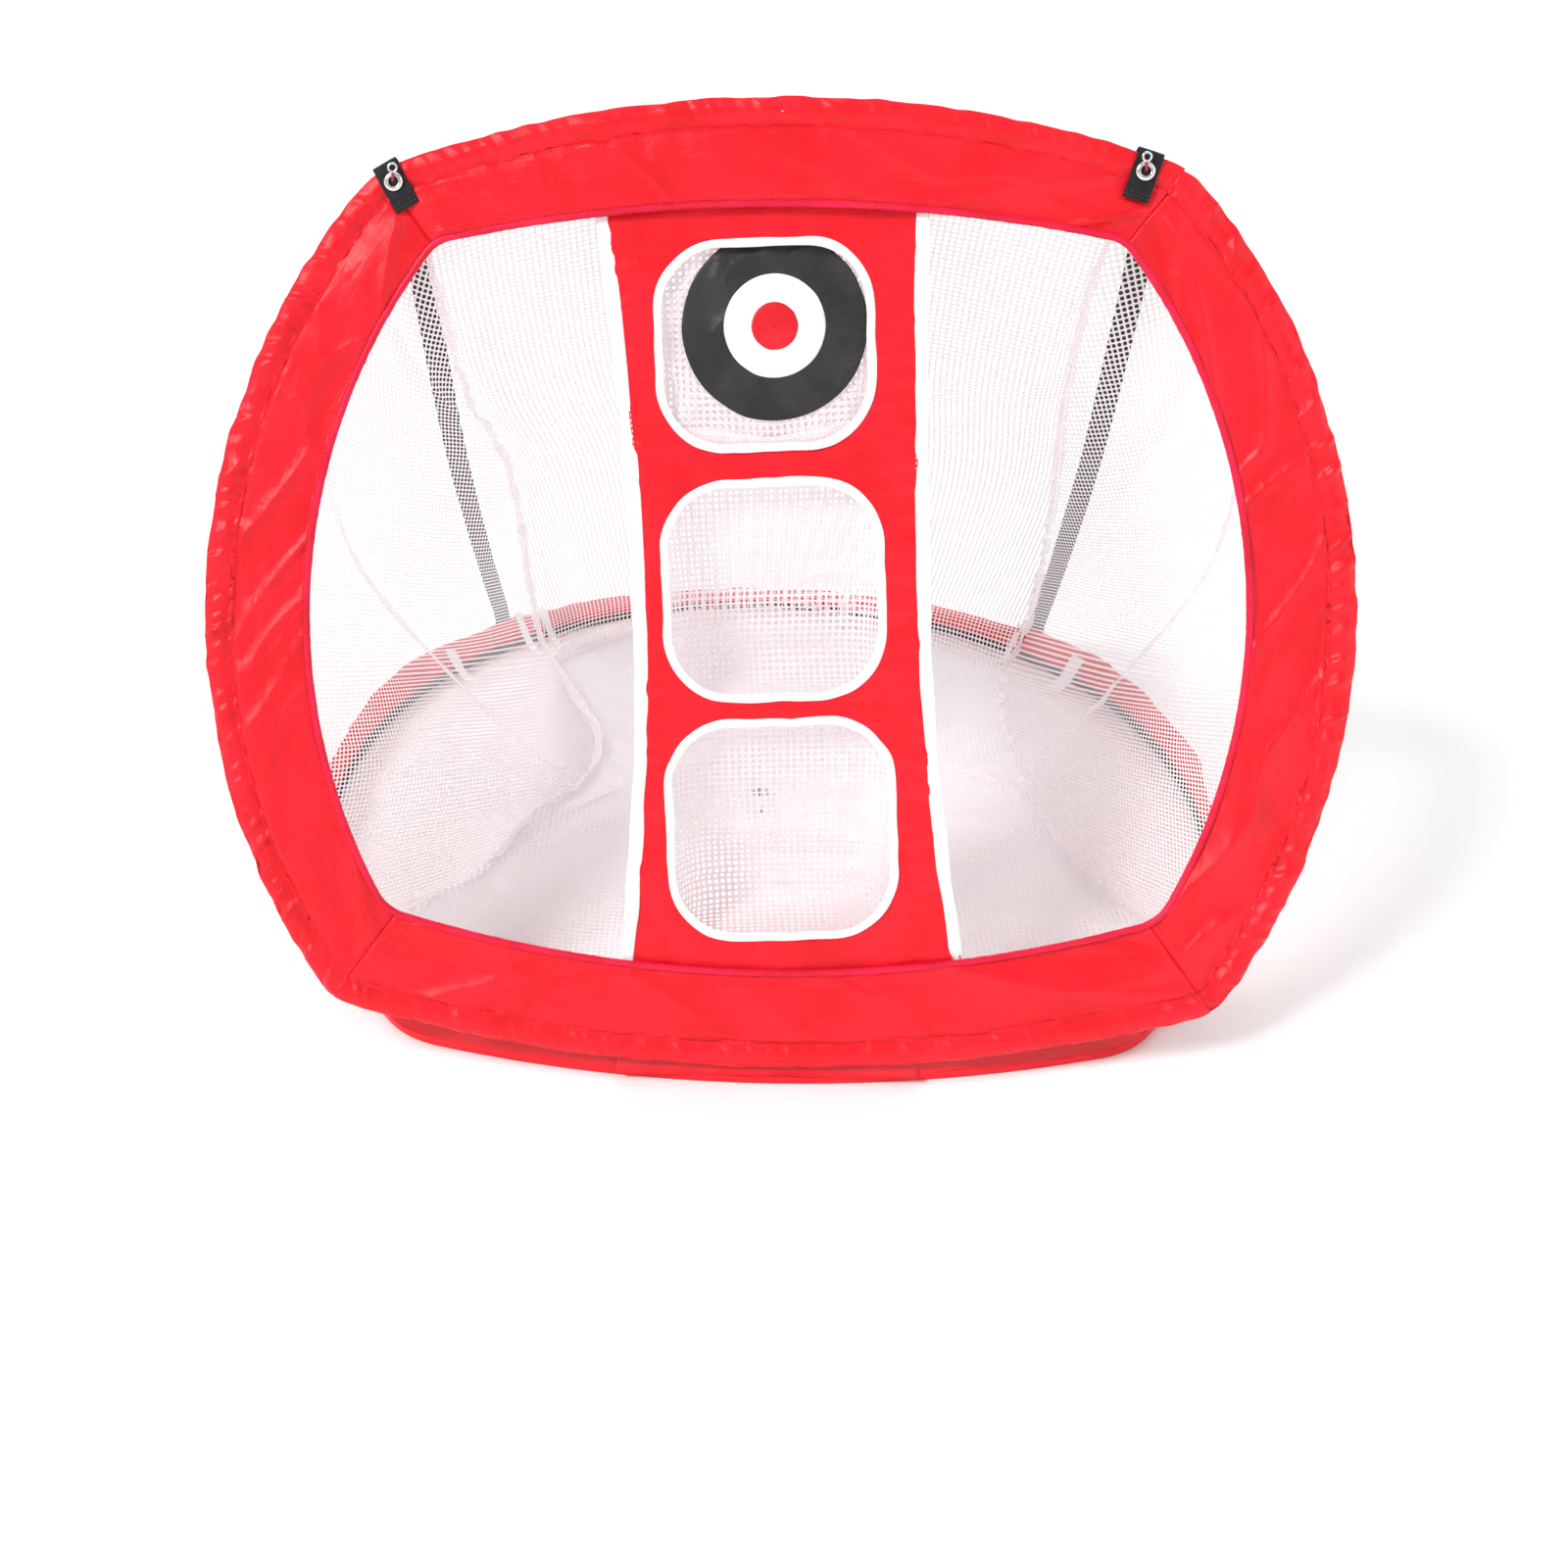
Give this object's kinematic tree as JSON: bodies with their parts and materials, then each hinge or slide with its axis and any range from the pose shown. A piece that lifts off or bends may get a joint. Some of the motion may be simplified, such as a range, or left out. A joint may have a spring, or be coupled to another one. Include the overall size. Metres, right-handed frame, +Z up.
{
  "type": "golf chipping net",
  "caption": "Free-standing folding chipping net: sprung front ring with target holes and side windows, netting catch bag, round sprung base ring.",
  "frame": {"origin": "on the floor, under the middle of the net's footprint", "axes": "+Z up, +Y from the front panel back to the rear of the base ring, +X to the right seen from the front"},
  "size_m": [1.1, 1.096, 0.8934],
  "materials": {
    "spring_steel": "satin",
    "ferrule": "satin",
    "red_nylon": "satin woven",
    "piping": "satin rolled",
    "white_tape": "matt woven tape",
    "white_mesh": "knitted netting",
    "target_black": "satin woven",
    "target_white": "satin woven",
    "target_red": "satin woven",
    "black_webbing": "ribbed webbing",
    "grommet": "polished",
    "eye_cord": "twisted cord",
    "eye_ring": "polished"
  },
  "bodies": {
    "base": {"base_band_left": "red_nylon", "base_band_rear": "red_nylon", "base_band_right": "red_nylon", "base_binding_left": "black_webbing", "base_binding_rear": "black_webbing", "base_binding_right": "black_webbing", "base_front_sleeve": "red_nylon", "base_hoop": "spring_steel", "base_hoop_ferrule": "ferrule", "hinge_strip": "red_nylon", "net_floor": "white_mesh", "net_roof": "white_mesh", "net_side_left": "white_mesh", "net_side_right": "white_mesh", "strap_anchor_left": "black_webbing", "strap_anchor_right": "black_webbing", "strap_left": "black_webbing", "strap_right": "black_webbing"},
    "front_panel": {"border_bottom": "red_nylon", "border_left": "red_nylon", "border_right": "red_nylon", "border_top": "red_nylon", "centre_panel": "red_nylon", "edge_tape_left": "white_tape", "edge_tape_right": "white_tape", "front_hoop": "spring_steel", "front_hoop_ferrule": "ferrule", "grommet_left": "grommet", "grommet_right": "grommet", "hem_bottom": "red_nylon", "hem_left": "red_nylon", "hem_right": "red_nylon", "hem_top": "red_nylon", "hole_binding_bottom": "white_tape", "hole_binding_middle": "white_tape", "hole_binding_top": "white_tape", "opening_piping": "piping", "pocket_bottom": "white_mesh", "pocket_middle": "white_mesh", "pocket_top": "white_mesh", "tab_left": "black_webbing", "tab_right": "black_webbing", "target_disc": "target_black", "target_dot": "target_red", "target_ring": "target_white"},
    "eye_left": {"eye_left": "eye_ring", "eye_stem_left": "eye_cord"},
    "eye_right": {"eye_right": "eye_ring", "eye_stem_right": "eye_cord"}
  },
  "joints": [
    {"name": "panel_fold", "type": "hinge", "parent": "base", "child": "front_panel", "pos_m": [0, -0.536, 0.0154], "axis": [-1, 0, 0], "range_deg": [0, 58], "stiffness_Nm_per_rad": 2, "springref_deg": -51.57, "deforming": ["net_side_left", "net_side_right", "net_roof", "strap_left", "strap_right", "pocket_top", "pocket_middle", "pocket_bottom"]},
    {"name": "eye_swing_left", "type": "hinge", "parent": "front_panel", "child": "eye_left", "pos_m": [-0.35623, -0.25951, 0.82359], "axis": [1, 0, 0], "range_deg": [0, 150]},
    {"name": "eye_swing_right", "type": "hinge", "parent": "front_panel", "child": "eye_right", "pos_m": [0.33378, -0.25698, 0.83053], "axis": [1, 0, 0], "range_deg": [0, 150]}
  ]
}
